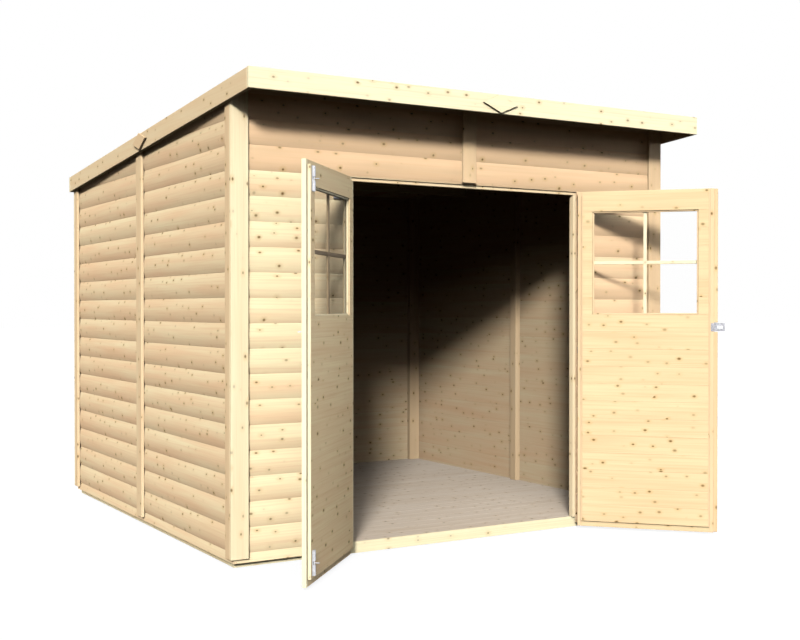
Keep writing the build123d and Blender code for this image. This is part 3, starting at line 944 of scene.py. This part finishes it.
def pan_head():
    """A screw head that stands on the level, its axis upright."""
    bpy.ops.object.select_all(action="DESELECT")
    bpy.ops.mesh.primitive_cylinder_add(vertices=SCREW_SIDES, radius=SCREW_RADIUS, depth=SCREW_HEIGHT,
                                        location=(0, 0, SCREW_HEIGHT / 2))
    bpy.ops.object.transform_apply(location=True, rotation=True, scale=True)
    head = bpy.context.object
    for share, rise in zip(DOME_SHARES, DOME_RISES):
        bpy.ops.object.mode_set(mode="EDIT")
        bpy.ops.mesh.select_mode(type="FACE")
        bpy.ops.mesh.select_all(action="DESELECT")
        bpy.ops.object.mode_set(mode="OBJECT")
        top = max(head.data.polygons, key=lambda face: (round(face.center.z, 6), face.area))
        top.select = True
        bpy.ops.object.mode_set(mode="EDIT")
        bpy.ops.mesh.inset(thickness=share * SCREW_RADIUS)
        bpy.ops.transform.translate(value=(0, 0, rise))
        leave()
    return head


screw = pan_head()


def set_screws(places, facing, share=1.0):
    """Copies of the screw at places, with their heads towards a direction, at a share of its size."""
    turn = Vector((0, 0, 1)).rotation_difference(facing).to_matrix().to_4x4() @ Matrix.Scale(share, 4)
    heads = []
    for place in places:
        head = copied(screw, Vector())
        head.data.transform(Matrix.Translation(place) @ turn)
        heads.append(head)
    return heads


# %% Where the screws sit
STRAP_THICKNESS, STRAP_SHARES = 3 * MM, (0.06, 0.26, 0.46, 0.66)
PLATE_INSET, PLATE_RISE = 20 * MM, 14 * MM
HASP_INSET, HASP_SHARES = 10 * MM, (0.22, 0.78)
BOLT_PLATE, BOLT_INSET, BOLT_RISE = 2 * MM, 3 * MM, 20 * MM
BOLT_SCREW_SHARE = 0.6

wall_heads = []
for side, sign in (("left", -1), ("right", 1)):
    heads = []
    for low, high in shut_boxes(side, "straps"):
        free_x = low.x if sign > 0 else high.x
        for share in STRAP_SHARES:
            x = free_x + sign * share * (high.x - low.x)
            heads.append(Vector((x, high.y - STRAP_THICKNESS, (low.z + high.z) / 2)))
    screws = set_screws(heads, front)
    if side == "right":
        low, high = shut_boxes(side, "hasp")[0]
        heights = [low.z + share * (high.z - low.z) for share in HASP_SHARES]
        screws += set_screws([Vector((high.x - HASP_INSET, low.y, z)) for z in heights], front)
    else:
        heads = []
        for low, high in shut_boxes(side, "bolts"):
            for x in (low.x + BOLT_INSET, high.x - BOLT_INSET):
                heads += [Vector((x, low.y + BOLT_PLATE, z)) for z in (low.z + BOLT_RISE, high.z - BOLT_RISE)]
        screws += set_screws(heads, back, BOLT_SCREW_SHARE)
    hang("screws", side, screws, "galvanised_steel")
    for low, high in solid_boxes("hinge_pins_" + side):
        outer_x = high.x if sign > 0 else low.x
        for z in (low.z + PLATE_RISE, high.z - PLATE_RISE):
            wall_heads.append(Vector((outer_x - sign * PLATE_INSET, high.y - STRAP_THICKNESS, z)))
dress(joined("hinge_plate_screws", set_screws(wall_heads, front)), "shed", "galvanised_steel")
bpy.data.objects.remove(screw)
print("wall screws:", len(wall_heads))

# %% [markdown]
# ## Stage, light and camera
# The studio has a pale floor and a white surround. The surround is white only to the eye, to
# gloss and through glass, and only before a ray meets a dull surface. To all else it is nearly
# dark, so that it doesn't wash out the shade under the roof and in the room.

# %% Floor and surround
ANY_BOUNCE = 0.5


def seen_rays(tree):
    """One for rays that show the surround: straight to the eye, off gloss and through glass."""
    path = add(tree, "ShaderNodeLightPath")
    first = add(tree, "ShaderNodeMath",
                links={0: path.outputs["Is Camera Ray"], 1: path.outputs["Is Glossy Ray"]},
                operation="MAXIMUM")
    shown = add(tree, "ShaderNodeMath",
                links={0: first.outputs[0], 1: path.outputs["Is Transmission Ray"]}, operation="MAXIMUM")
    clean = add(tree, "ShaderNodeMath", {1: ANY_BOUNCE}, {0: path.outputs["Diffuse Depth"]},
                operation="LESS_THAN")
    return add(tree, "ShaderNodeMath", links={0: shown.outputs[0], 1: clean.outputs[0]},
               operation="MULTIPLY").outputs[0]


FLOOR_SIZE, FLOOR_GLOW, FLOOR_TINT, FLOOR_BOUNCE = 120, 0.87, 0.20, 0.20
bpy.ops.object.select_all(action="DESELECT")
bpy.ops.mesh.primitive_plane_add(size=FLOOR_SIZE)
studio_floor = bpy.context.object
studio_floor.name = "studio_floor"
pale, tree, shader = new_finish("pale_studio_floor")
tree.nodes.remove(shader)
glow = add(tree, "ShaderNodeEmission", {"Strength": FLOOR_GLOW})
lit = add(tree, "ShaderNodeBsdfDiffuse", {"Color": (*[FLOOR_TINT] * 3, 1)})
seen = add(tree, "ShaderNodeAddShader", links={0: glow.outputs[0], 1: lit.outputs[0]})
bounce = add(tree, "ShaderNodeBsdfDiffuse", {"Color": (*[FLOOR_BOUNCE] * 3, 1)})
either = add(tree, "ShaderNodeMixShader",
             links={0: seen_rays(tree), 1: bounce.outputs[0], 2: seen.outputs[0]})
tree.links.new(either.outputs[0], tree.nodes["Material Output"].inputs["Surface"])
studio_floor.data.materials.append(pale)

AMBIENT = 0.055
scene = bpy.context.scene
scene.world = scene.world or bpy.data.worlds.new("studio")
scene.world.use_nodes = True
tree = scene.world.node_tree
level = add(tree, "ShaderNodeMapRange", {"To Min": AMBIENT, "To Max": 1.0}, {"Value": seen_rays(tree)})
tree.nodes["Background"].inputs["Color"].default_value = (1, 1, 1, 1)
tree.links.new(level.outputs[0], tree.nodes["Background"].inputs["Strength"])
scene.view_settings.view_transform = "Standard"
print("floor and surround set")

# %% [markdown]
# ### Lamps
# A key light comes low from the front left. Most of it is nearly as sharp as a sun behind thin
# cloud, and a part is soft, which blurs the edge of the shade in the room. A broad sky light
# comes from above, a fill from the right, and another from behind lights the far sides. No lamp
# lights anything by a bounce, so the room stays as dark as behind a real doorway on a bright
# day. The open left leaf hides its outside from all of them, so a last fill is linked to that
# leaf alone.

# %% Lamps
KEY = (-0.531, -0.770, 0.385)
lamps = (
    ("key", KEY, 3.20, 8, "#FFFFFF"),
    ("soft_key", KEY, 0.45, 30, "#FFFFFF"),
    ("sky", (-0.42, -0.62, 0.66), 1.15, 50, "#FFFFFF"),
    ("right_fill", (0.98, -0.09, 0.06), 2.65, 40, "#E8F1FF"),
    ("back_fill", (0.62, 0.70, 0.35), 2.40, 40, "#FFFFFF"),
    ("leaf_fill", (-0.75, 0.60, 0.25), 1.20, 40, "#FFFFFF"),
)
for name, towards, strength, spread, colour in lamps:
    lamp = bpy.data.lights.new(name, "SUN")
    lamp.color = linear(colour)[:3]
    lamp.energy = strength
    lamp.angle = math.radians(spread)
    lamp.cycles.max_bounces = 0
    lamp.cycles.use_multiple_importance_sampling = False
    holder = bpy.data.objects.new(name, lamp)
    holder.rotation_euler = Vector(towards).to_track_quat("Z", "Y").to_euler()
    scene.collection.objects.link(holder)

leaf = bpy.data.collections.new("left_leaf")
for piece in bpy.data.objects:
    if piece.name.startswith("left_door_"):
        leaf.objects.link(piece)
linking = bpy.data.objects["leaf_fill"].light_linking
linking.receiver_collection = linking.blocker_collection = leaf
print("lamps:", [lamp[0] for lamp in lamps])

# %% [markdown]
# ### Camera
# The camera stands in front of the shed and to its left, at chest height. It is all but level, so
# that upright edges stay upright.

# %% Camera
SENSOR_WIDTH, LENS = 36, 52.1127
EYE = (-3.1629, -5.8829, 1.1315)
TILT, TURN = math.radians(89.416), math.radians(-30.818)

camera_data = bpy.data.cameras.new("camera")
camera_data.sensor_width = SENSOR_WIDTH
camera_data.lens = LENS
camera = bpy.data.objects.new("camera", camera_data)
camera.location = EYE
camera.rotation_euler = (TILT, 0, TURN)
scene.collection.objects.link(camera)
scene.camera = camera
